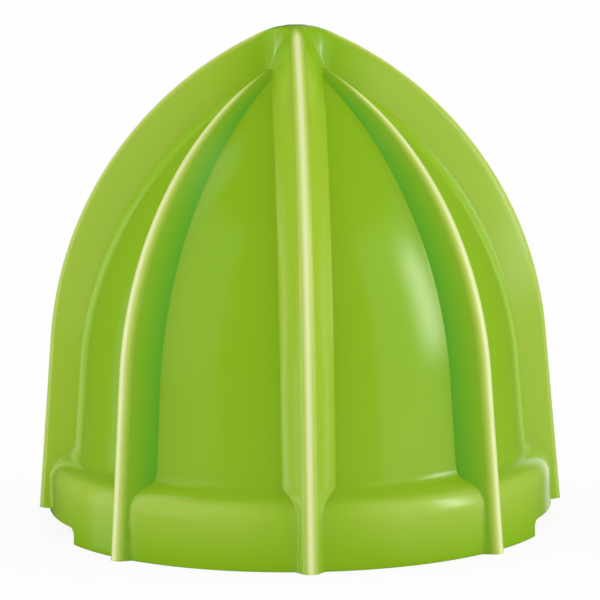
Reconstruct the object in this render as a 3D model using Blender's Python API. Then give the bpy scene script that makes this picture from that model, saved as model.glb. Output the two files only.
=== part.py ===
# Cone set of an electric citrus juicer: a large ribbed reaming cone that plugs over a small one,
# whose hub takes the juicer's hexagonal drive spindle.
# Metres, +Z up. The origin is on the turning axis, at the level that the set stands on.
# Azimuth 0 is towards -Y, and azimuth grows towards +X.
from collections import namedtuple
from math import acos, asin, atan2, cos, pi, radians, sin, sqrt, tan

import bmesh
import bpy
from mathutils import Matrix, Vector

MM = 0.001

# Fits
CLEARANCE = 0.3 * MM
FLANGE_SETBACK = 2.4 * MM

# Long ribs run to the tip, and as many short ribs between them stop below it
LONG_RIBS = 4

# Large cone
LARGE_RIB_FOOT = 39.0 * MM
LARGE_RIB_DRAFT = radians(4.8)
LARGE_RIB_SHOULDER = 28.0 * MM
LARGE_RIB_AIM = 74.5 * MM
LARGE_RIB_WIDTH = 7.5 * MM
LARGE_TIP_ROUND = 13.0 * MM
LARGE_SHORT_DRAFT = radians(4.9)
LARGE_SHORT_SHOULDER = 26.0 * MM
LARGE_SHORT_AIM = 69.2 * MM
LARGE_SHORT_WIDTH = 6.8 * MM
LARGE_PANEL_FOOT = 34.6 * MM
LARGE_PANEL_DRAFT = radians(4.6)
LARGE_PANEL_SHOULDER = 25.0 * MM
LARGE_PANEL_AIM = 69.4 * MM
LARGE_WALL = 2.0 * MM

# Skirt band round the large cone's foot, with a sloping ledge up to the panels
BAND_RADIUS = 37.3 * MM
BAND_DRAFT = radians(1.5)
BAND_HEIGHT = 9.3 * MM
BAND_FILLET = 1.7 * MM
LEDGE_RISE = 1.9 * MM
LEDGE_ROUND = 1.0 * MM
NOTCH_HEIGHT = 2.2 * MM
NOTCH_WIDTH = 33.0 * MM
NOTCH_ROUND = 0.8 * MM

# Small cone, with a flange that the set stands on
SMALL_RIB_FOOT = 29.0 * MM
SMALL_RIB_DRAFT = radians(5.0)
SMALL_RIB_SHOULDER = 16.0 * MM
SMALL_RIB_AIM = 60.0 * MM
SMALL_RIB_WIDTH = 5.6 * MM
SMALL_RIB_HEIGHT = 3.4 * MM
SMALL_TIP_ROUND = 5.0 * MM
SMALL_SHORT_AIM = 56.4 * MM
SMALL_SHORT_WIDTH = 5.0 * MM
SMALL_FILLET = 0.3 * MM
SMALL_WALL = 1.8 * MM
FLANGE_THICKNESS = 1.8 * MM

# Guide rails inside the large cone, a pair astride each long rib of the small one
RAIL_THICKNESS = 1.4 * MM
RAIL_TOP = 34.0 * MM

# Boss inside the small cone's crown, and the drive hub that plugs into it
BOSS_RADIUS = 8.6 * MM
BOSS_FOOT = 34.0 * MM
SPIGOT_FLATS = 10.0 * MM
SPIGOT_LENGTH = 16.0 * MM
HUB_RADIUS = 7.4 * MM
HUB_FOOT = 1.2 * MM
COLLAR_RADIUS = 8.6 * MM
COLLAR_HEIGHT = 3.0 * MM
SPINDLE_FLATS = 8.0 * MM
SPINDLE_DEPTH = 24.0 * MM
SPINDLE_LEAD_IN = 0.8 * MM
SLOT_WIDTH = 1.6 * MM
SLOT_HEIGHT = 12.0 * MM

# Spring ring in a groove round the hub's split foot
RING_WIRE = 1.6 * MM
RING_GAP = radians(28)
RING_HEIGHT = 3.2 * MM
GROOVE_DEPTH = 0.8 * MM

# Section of a rib, as shares of its half width and of its height
CREST_ROUND = 0.240
CREST_EDGE = 0.218
CREST_DROP = 0.107
FLANK_POWER = 1.44
SHORT_NARROWING = 0.6

# Lines round a cone: shares of a rib's visible half width, and strips of panel between two ribs
LARGE_FLANK = (0.0, 0.18, 0.40, 0.70, 1.0)
LARGE_STRIPS = 5
SMALL_FLANK = (0.0, 0.24, 0.60, 1.0)
SMALL_STRIPS = 3
RIBS_FILL_AT_MOST = 0.86
RIB_FILLS_AT_LEAST = 0.06

# Rings of a cone: shares of its band and of its drafted wall, then steps along its arcs
BAND_RING = 0.45
LARGE_WALL_RINGS = (0.4, 0.7, 1.0)
SMALL_WALL_RINGS = (0.5, 1.0)
LARGE_ARC_STEPS = 11
SMALL_ARC_STEPS = 10
INSIDE_ARC_STEPS = 6

# Limits of the sums that place a rib: passes, half its widest angle, and the least share of a fillet
HEIGHT_PASSES = 8
WIDEST_FLANK = radians(64)
FILLET_AT_LEAST = 0.05

# Fineness of round pieces, and how far a cutter runs past what it cuts
ROUND_STEPS = 40
NOTCH_ROUND_STEPS = 3
WIRE_SIDES = 8
RAIL_STEPS = 5
OVERRUN = 1.0 * MM
ON_AXIS = 1e-6 * MM
LEAST_RING = 0.1 * MM
SHARP_ANGLE = radians(35)

# A row of a spun body: its outline point, the point that it takes its lines from, whether ribs lift it
Row = namedtuple("Row", "point level ribbed")


def clear_scene():
    for obj in list(bpy.data.objects):
        bpy.data.objects.remove(obj, do_unlink=True)


def direction(angle):
    return Vector((cos(angle), sin(angle)))


class Ogive:
    # Outline in (radius, height): a drafted wall that turns at its shoulder into one arc to the axis
    def __init__(self, foot, draft, shoulder, aim):
        wall_top = Vector((foot - shoulder * tan(draft), shoulder))
        to_aim = Vector((0.0, aim)) - wall_top
        inward = -direction(draft)
        self.foot = foot
        self.draft = draft
        self.shoulder = shoulder
        self.arc = to_aim.length_squared / (2.0 * to_aim.dot(inward))
        self.centre = wall_top + inward * self.arc

    def inset(self, depth):
        # The same outline, moved inwards by a depth
        foot = self.foot - depth / cos(self.draft)
        shoulder = self.shoulder - depth * sin(self.draft)
        arc = self.arc - depth
        aim = self.centre.y + sqrt(arc ** 2 - self.centre.x ** 2)
        return Ogive(foot, self.draft, shoulder, aim)

    def radius(self, height):
        if height <= self.shoulder:
            return self.foot - height * tan(self.draft)
        return self.centre.x + sqrt(max(self.arc ** 2 - (height - self.centre.y) ** 2, 0.0))

    def wall_point(self, height):
        return Vector((self.radius(height), height))

    def arc_points(self, steps, last_radius=0.0):
        # Points along the arc, from above the shoulder to where it has a radius
        last = acos((last_radius - self.centre.x) / self.arc)
        points = []
        for step in range(1, steps + 1):
            angle = self.draft + (last - self.draft) * step / steps
            points.append(self.centre + direction(angle) * self.arc)
        return points

    def reach(self, start, heading):
        # Distance from a point along a heading to the outline, negative where the outline is behind
        across = start - self.centre
        along = across.dot(heading)
        inside = along ** 2 - across.length_squared + self.arc ** 2
        if inside > 0.0:
            distance = sqrt(inside) - along
            if start.y + distance * heading.y >= self.shoulder:
                return distance
        slope = tan(self.draft)
        return (self.foot - slope * start.y - start.x) / (heading.x + slope * heading.y)


def rib_rise(share):
    # Height of a rib at a share of its half width: a round crest, then a flank that flares out
    share = abs(share)
    if share >= 1.0:
        return 0.0
    if share < CREST_EDGE:
        dip = 1.0 - sqrt(1.0 - (share / CREST_ROUND) ** 2)
        whole_dip = 1.0 - sqrt(1.0 - (CREST_EDGE / CREST_ROUND) ** 2)
        return 1.0 - CREST_DROP * dip / whole_dip
    return (1.0 - CREST_DROP) * ((1.0 - share) / (1.0 - CREST_EDGE)) ** FLANK_POWER


def rib_share(rise):
    # Share of the half width at which a rib's flank has come down to a height
    rise = min(max(rise, 0.0), 1.0 - CREST_DROP)
    return 1.0 - (1.0 - CREST_EDGE) * (rise / (1.0 - CREST_DROP)) ** (1.0 / FLANK_POWER)


def soft_max(first, second, blend):
    # The larger value, with a fillet where the two are close
    overlap = max(blend - abs(first - second), 0.0)
    return max(first, second) + overlap ** 2 / (4.0 * blend)


class RibbedDome:
    # A dome whose panels follow one outline, with long and short ribs that rise from it
    def __init__(self, panel, long_rib, short_rib, widths, tip_round, fillet, flank, strips):
        self.panel = panel
        self.long_rib = long_rib
        self.short_rib = short_rib
        self.long_half = widths[0] / 2.0
        self.short_half = widths[1] / 2.0
        self.fillet = fillet
        self.flank = flank
        self.strips = strips
        self.sector = pi / LONG_RIBS
        self.full_height = long_rib.foot - panel.foot
        self.tip_round = tip_round
        self.tip_centre = Vector((0.0, long_rib.centre.y
                                  + sqrt((long_rib.arc - tip_round) ** 2 - long_rib.centre.x ** 2)))
        self.tip_edge = -long_rib.centre.x * tip_round / (long_rib.arc - tip_round)
        self.tip = self.tip_centre + Vector((0.0, tip_round))

    def heading(self, point):
        # Ribs stand square to the panel, and level at the foot
        if point.y <= self.panel.shoulder:
            return direction(self.panel.draft * max(point.y, 0.0) / self.panel.shoulder)
        return (point - self.panel.centre).normalized()

    def tip_reach(self, start, heading):
        across = start - self.tip_centre
        along = across.dot(heading)
        return sqrt(max(along ** 2 - across.length_squared + self.tip_round ** 2, 0.0)) - along

    def heights(self, point):
        # Heading of the ribs over a point, then heights over the panel: the point's, and each crest's
        heading = self.heading(point)
        base = -self.panel.reach(point, heading)
        to_crest = self.long_rib.reach(point, heading)
        if point.x + heading.x * to_crest < self.tip_edge and point.y > self.panel.shoulder:
            to_crest = self.tip_reach(point, heading)
        short_height = max(self.short_rib.reach(point, heading) + base, 0.0)
        return heading, base, to_crest + base, short_height

    def half_widths(self, short_height):
        # A short rib narrows as it sinks into the panel
        share = min(short_height / self.full_height, 1.0)
        return self.long_half, self.short_half * share ** SHORT_NARROWING

    def flank_angles(self, point, half, height):
        # Angles from a rib's crest to the lines down its flank
        heading, base, _, _ = self.heights(point)
        hidden = max(base - 0.5 * self.fillet, 0.0)
        reach = half * rib_share(hidden / height) if height > 0.0 else 0.0
        angles = []
        for share in self.flank:
            rise = height * rib_rise(share * reach / half) - base if half > 0.0 else -base
            radius = point.x + heading.x * rise
            sine = min(share * reach / radius, sin(WIDEST_FLANK)) if radius > 0.0 else 0.0
            angles.append(asin(sine))
        least = RIB_FILLS_AT_LEAST * self.sector
        if angles[-1] < least:
            angles = [least * share for share in self.flank]
        return angles

    def lines(self, point):
        # Azimuths of the lines from a long rib's crest to the next short rib's crest
        _, _, long_height, short_height = self.heights(point)
        long_half, short_half = self.half_widths(short_height)
        longs = self.flank_angles(point, long_half, long_height)
        shorts = self.flank_angles(point, short_half, short_height)
        squeeze = min(RIBS_FILL_AT_MOST * self.sector / (longs[-1] + shorts[-1]), 1.0)
        longs = [angle * squeeze for angle in longs]
        shorts = [self.sector - angle * squeeze for angle in reversed(shorts)]
        strips = []
        for strip in range(1, self.strips):
            strips.append(longs[-1] + (shorts[0] - longs[-1]) * strip / self.strips)
        return longs + strips + shorts

    def steps(self):
        return 2 * LONG_RIBS * (2 * len(self.flank) + self.strips - 2)

    def azimuth(self, point, step):
        # Azimuth of a numbered line round the dome, level with a point of its outline
        lines = self.lines(point)
        count = len(lines) - 1
        number, place = divmod(step, count)
        if number % 2:
            return (number + 1) * self.sector - lines[count - place]
        return number * self.sector + lines[place]

    def surface(self, point, azimuth):
        # The dome's outside over a point of its outline, at an azimuth
        heading, base, long_height, short_height = self.heights(point)
        long_half, short_half = self.half_widths(short_height)
        turn = azimuth % (2.0 * self.sector)
        to_long = min(turn, 2.0 * self.sector - turn)
        to_short = self.sector - to_long
        share = min(max(base / self.full_height, FILLET_AT_LEAST), 1.0)
        blend = self.fillet * share
        height = base
        for _ in range(HEIGHT_PASSES):
            radius = point.x + heading.x * (height - base)
            rib = long_height * rib_rise(radius * sin(to_long) / long_half)
            if short_half > 0.0:
                rib = max(rib, short_height * rib_rise(radius * sin(to_short) / short_half))
            height = soft_max(base, rib, blend) if rib > 0.0 else base
        return point + heading * (height - base)


def rounded(before, corner, after, size):
    # Three points that round off a corner of an outline, over a size each way
    start = corner + (before - corner).normalized() * size
    end = corner + (after - corner).normalized() * size
    return [start, start.lerp(corner, 0.5).lerp(corner.lerp(end, 0.5), 0.5), end]


def spun(name, rows, steps=ROUND_STEPS, dome=None):
    # One closed body, spun from its rows. With a dome, its lines and ribs then place each vertex
    mesh = bmesh.new()
    row_number = mesh.verts.layers.int.new("row")
    ring = []
    for number, row in enumerate(rows):
        radius = max(row.point.x, LEAST_RING) if row.ribbed else row.point.x
        vert = mesh.verts.new((0.0, -radius, row.point.y))
        vert[row_number] = number
        ring.append(vert)
    edges = [mesh.edges.new(pair) for pair in zip(ring, ring[1:])]
    if rows[0].point.x > ON_AXIS:
        edges.append(mesh.edges.new((ring[-1], ring[0])))
    bmesh.ops.spin(mesh, geom=ring + edges, cent=(0, 0, 0), axis=(0, 0, 1), angle=2.0 * pi,
                   steps=steps, use_merge=True, use_duplicate=False)
    bmesh.ops.remove_doubles(mesh, verts=mesh.verts, dist=ON_AXIS * 10.0)
    for vert in mesh.verts if dome else ():
        row = rows[vert[row_number]]
        if row.point.x > ON_AXIS or row.ribbed:
            turn = atan2(vert.co.x, -vert.co.y) % (2.0 * pi)
            azimuth = dome.azimuth(row.level, round(turn * steps / (2.0 * pi)) % steps)
            point = dome.surface(row.point, azimuth) if row.ribbed else row.point
            vert.co = (point.x * sin(azimuth), -point.x * cos(azimuth), point.y)
    bmesh.ops.triangulate(mesh, faces=mesh.faces)
    return finish(name, mesh)


def finish(name, mesh):
    bmesh.ops.recalc_face_normals(mesh, faces=mesh.faces)
    data = bpy.data.meshes.new(name)
    mesh.to_mesh(data)
    mesh.free()
    data.shade_smooth()
    data.set_sharp_from_angle(angle=SHARP_ANGLE)
    obj = bpy.data.objects.new(name, data)
    bpy.context.scene.collection.objects.link(obj)
    return obj


def plain(points, levels=None):
    return [Row(Vector(point), level, False) for point, level in zip(points, levels or points)]


def ribbed(points):
    return [Row(point, point, True) for point in points]


def combine(target, tool, operation):
    # Join a tool object to a piece, or cut it out. The tool itself is left out of the model
    tool.hide_render = True
    tool.display_type = "WIRE"
    modifier = target.modifiers.new(tool.name, "BOOLEAN")
    modifier.operation = operation
    modifier.solver = "EXACT"
    modifier.object = tool


def paint(obj, colour, roughness, metallic=0.0):
    material = bpy.data.materials.new(obj.name)
    material.use_nodes = True
    shader = material.node_tree.nodes["Principled BSDF"]
    shader.inputs["Base Color"].default_value = (*colour, 1.0)
    shader.inputs["Roughness"].default_value = roughness
    shader.inputs["Metallic"].default_value = metallic
    obj.data.materials.append(material)


def large_dome():
    panel = Ogive(LARGE_PANEL_FOOT, LARGE_PANEL_DRAFT, LARGE_PANEL_SHOULDER, LARGE_PANEL_AIM)
    long_rib = Ogive(LARGE_RIB_FOOT, LARGE_RIB_DRAFT, LARGE_RIB_SHOULDER, LARGE_RIB_AIM)
    short_rib = Ogive(LARGE_RIB_FOOT, LARGE_SHORT_DRAFT, LARGE_SHORT_SHOULDER, LARGE_SHORT_AIM)
    return RibbedDome(panel, long_rib, short_rib, (LARGE_RIB_WIDTH, LARGE_SHORT_WIDTH), LARGE_TIP_ROUND,
                      BAND_FILLET, LARGE_FLANK, LARGE_STRIPS)


def small_dome():
    long_rib = Ogive(SMALL_RIB_FOOT, SMALL_RIB_DRAFT, SMALL_RIB_SHOULDER, SMALL_RIB_AIM)
    short_rib = Ogive(SMALL_RIB_FOOT, SMALL_RIB_DRAFT, SMALL_RIB_SHOULDER, SMALL_SHORT_AIM)
    panel = long_rib.inset(SMALL_RIB_HEIGHT)
    return RibbedDome(panel, long_rib, short_rib, (SMALL_RIB_WIDTH, SMALL_SHORT_WIDTH), SMALL_TIP_ROUND,
                      SMALL_FILLET, SMALL_FLANK, SMALL_STRIPS)


def band_radius(height):
    return BAND_RADIUS - height * tan(BAND_DRAFT)


def make_large_cone(large, small):
    panel = large.panel
    ledge_top = BAND_HEIGHT + LEDGE_RISE
    foot = Vector((BAND_RADIUS, 0.0))
    edge = Vector((band_radius(BAND_HEIGHT), BAND_HEIGHT))
    ledge = panel.wall_point(ledge_top)
    shoulder = panel.wall_point(panel.shoulder)
    outside = [foot, foot.lerp(edge, BAND_RING)]
    outside += rounded(foot, edge, ledge, LEDGE_ROUND)
    outside += rounded(edge, ledge, shoulder, LEDGE_ROUND)
    outside += [ledge.lerp(shoulder, share) for share in LARGE_WALL_RINGS]
    outside += panel.arc_points(LARGE_ARC_STEPS)
    outside.insert(-1, panel.arc_points(2 * LARGE_ARC_STEPS)[-2])

    # The inside is level with the outside, a wall's thickness in
    wall = panel.inset(LARGE_WALL)
    drop = LARGE_WALL * tan(atan2(LEDGE_RISE, edge.x - ledge.x) / 2.0)
    inside = [(band_radius(0.0) - LARGE_WALL, 0.0),
              (band_radius(BAND_HEIGHT) - LARGE_WALL, BAND_HEIGHT - drop),
              wall.wall_point(ledge_top - drop),
              wall.wall_point(wall.shoulder)]
    inside += wall.arc_points(INSIDE_ARC_STEPS)
    levels = [foot, edge, ledge, shoulder] + panel.arc_points(INSIDE_ARC_STEPS)
    rows = plain([large.tip]) + ribbed(reversed(outside)) + plain(inside, levels)
    cone = spun("large_cone", rows, large.steps(), large)
    combine(cone, make_rail_plates(large, small), "UNION")
    combine(cone, make_notch_block(), "DIFFERENCE")
    return cone


def make_rail_plates(large, small):
    # Plates from inside the large cone's wall to just short of the small cone's panels
    foot = FLANGE_THICKNESS + CLEARANCE
    near = SMALL_RIB_WIDTH / 2.0 + CLEARANCE
    middle = near + RAIL_THICKNESS / 2.0
    wall = large.panel.inset(LARGE_WALL / 2.0)
    ledge_top = BAND_HEIGHT + LEDGE_RISE
    half_wall = LARGE_WALL / 2.0
    outline = []
    for radius, height in ((band_radius(foot) - half_wall, foot),
                           (band_radius(BAND_HEIGHT) - half_wall, BAND_HEIGHT - half_wall),
                           (wall.radius(ledge_top), ledge_top - half_wall / 2.0),
                           (wall.radius(wall.shoulder), wall.shoulder),
                           (wall.radius(RAIL_TOP), RAIL_TOP)):
        outline.append((sqrt(radius ** 2 - middle ** 2), height))
    for step in range(RAIL_STEPS + 1):
        height = RAIL_TOP + (foot - RAIL_TOP) * step / RAIL_STEPS
        outline.append((sqrt((small.panel.radius(height) + CLEARANCE) ** 2 - near ** 2), height))
    mesh = bmesh.new()
    for rib in range(LONG_RIBS):
        turn = Matrix.Rotation(2.0 * pi * rib / LONG_RIBS, 4, "Z")
        for side in (-1.0, 1.0):
            verts = [mesh.verts.new((side * near, -reach, height)) for reach, height in outline]
            grown = bmesh.ops.extrude_face_region(mesh, geom=[mesh.faces.new(verts)])["geom"]
            far_side = [item for item in grown if isinstance(item, bmesh.types.BMVert)]
            bmesh.ops.translate(mesh, verts=far_side, vec=(side * RAIL_THICKNESS, 0.0, 0.0))
            bmesh.ops.transform(mesh, matrix=turn, verts=verts + far_side)
    bmesh.ops.triangulate(mesh, faces=mesh.faces)
    return finish("rail_plates", mesh)


def make_notch_block():
    # One block through both sides of the skirt, with its upper long edges rounded
    mesh = bmesh.new()
    length = 2.0 * (LARGE_RIB_FOOT + OVERRUN)
    height = NOTCH_HEIGHT + OVERRUN
    size = Matrix.Diagonal((length, NOTCH_WIDTH, height, 1.0))
    place = Matrix.Translation((0, 0, NOTCH_HEIGHT - height / 2.0))
    bmesh.ops.create_cube(mesh, size=1.0, matrix=place @ size)
    upper = []
    for edge in mesh.edges:
        one, other = edge.verts
        if one.co.z > 0.0 and other.co.z > 0.0 and one.co.x * other.co.x < 0.0:
            upper.append(edge)
    bmesh.ops.bevel(mesh, geom=upper, offset=NOTCH_ROUND, segments=NOTCH_ROUND_STEPS, profile=0.5,
                    affect="EDGES")
    return finish("side_notches", mesh)


def make_small_cone(small):
    panel = small.panel
    flange = BAND_RADIUS - LARGE_WALL - FLANGE_SETBACK
    root = panel.wall_point(FLANGE_THICKNESS)
    shoulder = panel.wall_point(panel.shoulder)
    rim = plain([(flange, FLANGE_THICKNESS), (flange, 0.0)], [root, root])
    outside = [root] + [root.lerp(shoulder, share) for share in SMALL_WALL_RINGS]
    outside += panel.arc_points(SMALL_ARC_STEPS)

    # The inside runs up to the crown boss, and down its side to its foot
    wall = panel.inset(SMALL_WALL)
    inside = [wall.wall_point(0.0), wall.wall_point(wall.shoulder)]
    levels = [root, shoulder]
    inside += wall.arc_points(INSIDE_ARC_STEPS, BOSS_RADIUS)
    levels += panel.arc_points(INSIDE_ARC_STEPS, BOSS_RADIUS)
    inside += [(BOSS_RADIUS, BOSS_FOOT), (0.0, BOSS_FOOT)]
    levels += [levels[-1], levels[-1]]
    rows = plain([small.tip]) + ribbed(reversed(outside)) + rim + plain(inside, levels)
    cone = spun("small_cone", rows, small.steps(), small)
    socket_top = BOSS_FOOT + SPIGOT_LENGTH
    combine(cone, hexagon("crown_socket", SPIGOT_FLATS + 2.0 * CLEARANCE, BOSS_FOOT - OVERRUN, socket_top),
            "DIFFERENCE")
    return cone


def hexagon(name, flats, low, high, lead_in=0.0):
    # A standing hexagonal bar, measured across its flats, that may widen towards its lower end
    corner = flats / 2.0 / cos(pi / 6.0)
    outline = [(0.0, low), (corner + lead_in, low), (corner, high), (0.0, high)]
    if lead_in:
        outline.insert(2, (corner, low + lead_in))
    return spun(name, plain(outline), 6)


def make_drive_hub():
    # A stem with a collar under the boss, a hexagonal spigot above it and a split foot below
    top = BOSS_FOOT - CLEARANCE
    collar_foot = top - COLLAR_HEIGHT
    groove = HUB_RADIUS - GROOVE_DEPTH
    half_groove = RING_WIRE / 2.0 + CLEARANCE
    ring_level = HUB_FOOT + RING_HEIGHT
    hub = spun("drive_hub", plain([(0.0, HUB_FOOT),
                                   (HUB_RADIUS, HUB_FOOT),
                                   (HUB_RADIUS, ring_level - half_groove),
                                   (groove, ring_level - half_groove),
                                   (groove, ring_level + half_groove),
                                   (HUB_RADIUS, ring_level + half_groove),
                                   (HUB_RADIUS, collar_foot - (COLLAR_RADIUS - HUB_RADIUS)),
                                   (COLLAR_RADIUS, collar_foot),
                                   (COLLAR_RADIUS, top),
                                   (0.0, top)]))
    combine(hub, hexagon("hub_spigot", SPIGOT_FLATS, collar_foot, top + SPIGOT_LENGTH), "UNION")
    mouth = HUB_FOOT - OVERRUN
    combine(hub, hexagon("spindle_bore", SPINDLE_FLATS, mouth, HUB_FOOT + SPINDLE_DEPTH,
                         SPINDLE_LEAD_IN + OVERRUN), "DIFFERENCE")
    for number, turn in enumerate((pi / 4.0, -pi / 4.0)):
        mesh = bmesh.new()
        height = SLOT_HEIGHT + OVERRUN
        place = Matrix.Rotation(turn, 4, "Z") @ Matrix.Translation((0, 0, mouth + height / 2.0))
        size = Matrix.Diagonal((2.0 * (HUB_RADIUS + OVERRUN), SLOT_WIDTH, height, 1.0))
        bmesh.ops.create_cube(mesh, size=1.0, matrix=place @ size)
        combine(hub, finish(f"foot_slot_{number + 1}", mesh), "DIFFERENCE")
    return hub


def make_spring_ring():
    # Round wire bent into an open ring, its ends square
    middle = HUB_RADIUS - GROOVE_DEPTH + CLEARANCE + RING_WIRE / 2.0
    level = HUB_FOOT + RING_HEIGHT
    mesh = bmesh.new()
    stand = Matrix.Translation((0.0, -middle, level)) @ Matrix.Rotation(pi / 2.0, 4, "Y")
    circle = bmesh.ops.create_circle(mesh, cap_ends=True, segments=WIRE_SIDES, radius=RING_WIRE / 2.0,
                                     matrix=stand)
    half_gap = Matrix.Rotation(RING_GAP / 2.0, 3, "Z")
    bmesh.ops.rotate(mesh, verts=circle["verts"], cent=(0, 0, 0), matrix=half_gap)
    bmesh.ops.spin(mesh, geom=mesh.verts[:] + mesh.edges[:] + mesh.faces[:], cent=(0, 0, 0), axis=(0, 0, 1),
                   angle=2.0 * pi - RING_GAP, steps=ROUND_STEPS, use_duplicate=False)
    return finish("spring_ring", mesh)


def main():
    clear_scene()
    large = large_dome()
    small = small_dome()
    green = (0.262, 0.485, 0.016)
    paint(make_large_cone(large, small), green, 0.22)
    paint(make_small_cone(small), green, 0.25)
    paint(make_drive_hub(), (0.72, 0.72, 0.68), 0.45)
    paint(make_spring_ring(), (0.62, 0.62, 0.62), 0.30, 1.0)


main()
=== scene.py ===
from math import acos, asin, atan2, cos, inf, pi, radians, sin, sqrt, tan
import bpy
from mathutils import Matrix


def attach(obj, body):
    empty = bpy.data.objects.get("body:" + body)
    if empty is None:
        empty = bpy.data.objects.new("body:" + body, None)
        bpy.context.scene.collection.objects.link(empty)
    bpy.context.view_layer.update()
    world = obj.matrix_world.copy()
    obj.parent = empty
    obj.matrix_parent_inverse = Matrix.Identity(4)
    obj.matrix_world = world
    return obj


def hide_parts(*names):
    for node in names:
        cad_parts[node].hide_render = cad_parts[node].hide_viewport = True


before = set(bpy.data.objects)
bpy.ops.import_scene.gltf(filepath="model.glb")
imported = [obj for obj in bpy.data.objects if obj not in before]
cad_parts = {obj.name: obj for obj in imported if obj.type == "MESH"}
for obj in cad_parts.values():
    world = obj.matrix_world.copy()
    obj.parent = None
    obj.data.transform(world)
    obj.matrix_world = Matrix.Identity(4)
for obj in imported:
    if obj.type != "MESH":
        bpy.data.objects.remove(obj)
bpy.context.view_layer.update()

from types import SimpleNamespace

import bmesh
import bpy
from mathutils import Matrix, Vector

# Cone set of a citrus juicer. Sizes are in millimetres and degrees here, and become metres in each piece.
# The turning axis is Z. Azimuth 0 is towards the camera, along -Y, and it grows towards +X.
mm = 0.001
tiny = 1e-6 * mm
seamGap = 1e-5 * mm        # points closer than this are one where a spin closes, and where a tool has cut
sliverGap = 1e-4 * mm
clearance = 0.3            # between pieces that plug together
overcut = 1.0              # how far a cutting tool stands out of what it cuts
scene = bpy.context.scene


# Camera

camera = {
    "distance": 561.5,
    "aimHeight": 33.15,
    "azimuth": -1.99,
    "elevation": 8.6,
    "roll": -0.636,
    "focalPixels": 3799.0,
    "centreX": 298.3,          # where the aimed point falls in the photograph
    "centreY": 297.7,
    "frameSize": 600.0,
    "sensor": 36.0,
    "clipStart": 10.0,
}


def seen(azimuth, elevation):
    # Unit vector from the axis towards an azimuth and elevation
    a, e = radians(azimuth), radians(elevation)
    return Vector((cos(e) * sin(a), -cos(e) * cos(a), sin(e)))


def makeCamera(c):
    data = bpy.data.cameras.new("photoCamera")
    data.lens = c["focalPixels"] / c["frameSize"] * c["sensor"]
    data.sensor_width = c["sensor"]
    data.clip_start = c["clipStart"] * mm
    data.shift_x = (c["frameSize"] / 2 - c["centreX"]) / c["frameSize"]
    data.shift_y = (c["centreY"] - c["frameSize"] / 2) / c["frameSize"]
    back = seen(c["azimuth"], c["elevation"])
    turn = back.to_track_quat("Z", "Y").to_matrix() @ Matrix.Rotation(radians(c["roll"]), 3, "Z")
    place = Vector((0, 0, c["aimHeight"] * mm)) + back * c["distance"] * mm
    obj = bpy.data.objects.new("photoCamera", data)
    obj.matrix_world = Matrix.Translation(place) @ turn.to_4x4()
    scene.collection.objects.link(obj)
    scene.camera = obj


# Studio

studio = {
    "floorSize": 6000.0,
    "floorSegments": 96,
    "floorColour": (0.9, 0.9, 0.9),
    "floorRoughness": 0.9,
    "floorGlow": 0.9,           # share of the floor that is plain white to the camera
    "worldFill": 0.70,          # soft light from all round, and what both sides and the right alone add
    "sideFill": 1.0,
    "rightFill": 0.32,
    "surroundShine": 0.06,      # how bright the surround is in gloss, apart from the boxes and strips
    "stripBackSoft": 0.2,       # softness of a strip's rear end, its lower end, and the softness of that
    "stripFoot": -0.3,
    "stripFootSoft": 0.3,
}

# Soft boxes that show in gloss: azimuths from and to, their softness, elevations and theirs, brightness
softBoxes = {
    "leftBox": (-84, -44, 12, -3, 48, 10, 0.45),
    "leftRearBox": (-112, -84, 10, -12, 60, 14, 0.8),
    "rightBox": (39, 92, 3, -9, 44, 10, 0.58),
    "rightLamp": (67, 80, 16, 6, 33, 14, 6.2),
    "rightRearBox": (92, 105, 10, -12, 50, 14, 0.2),
    "rightBackBox": (150, 172, 14, -12, 24, 12, 1.1),
}

# Light strips that run over the top: azimuth of their axis, middle and half width along it, softness,
# how far back and how high they run, brightness
lightStrips = {
    "centreStrip": (90, 0.03, 0.08, 0.06, 0.1, 0.8, 3.2),
    "leftStrip": (-135, 0.69, 0.05, 0.05, 0.1, 0.55, 3.8),
    "rightStrip": (135, 0.74, 0.05, 0.05, 0.1, 0.55, 3.8),
}


def calculated(tree, operation, first, second=None):
    node = tree.nodes.new("ShaderNodeMath")
    node.operation = operation
    for socket, value in zip(node.inputs, (first, second)):
        if isinstance(value, (int, float)):
            socket.default_value = value
        elif value is not None:
            tree.links.new(value, socket)
    return node.outputs[0]


def windowed(tree, value, low, high, soft):
    # 1 between two limits and 0 outside them, with soft edges
    edges = []
    for start, end in ((low - soft / 2, low + soft / 2), (high + soft / 2, high - soft / 2)):
        edge = tree.nodes.new("ShaderNodeMapRange")
        edge.interpolation_type = "SMOOTHSTEP"
        edge.inputs["From Min"].default_value = start
        edge.inputs["From Max"].default_value = end
        tree.links.new(value, edge.inputs["Value"])
        edges.append(edge.outputs["Result"])
    return calculated(tree, "MULTIPLY", *edges)


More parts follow.
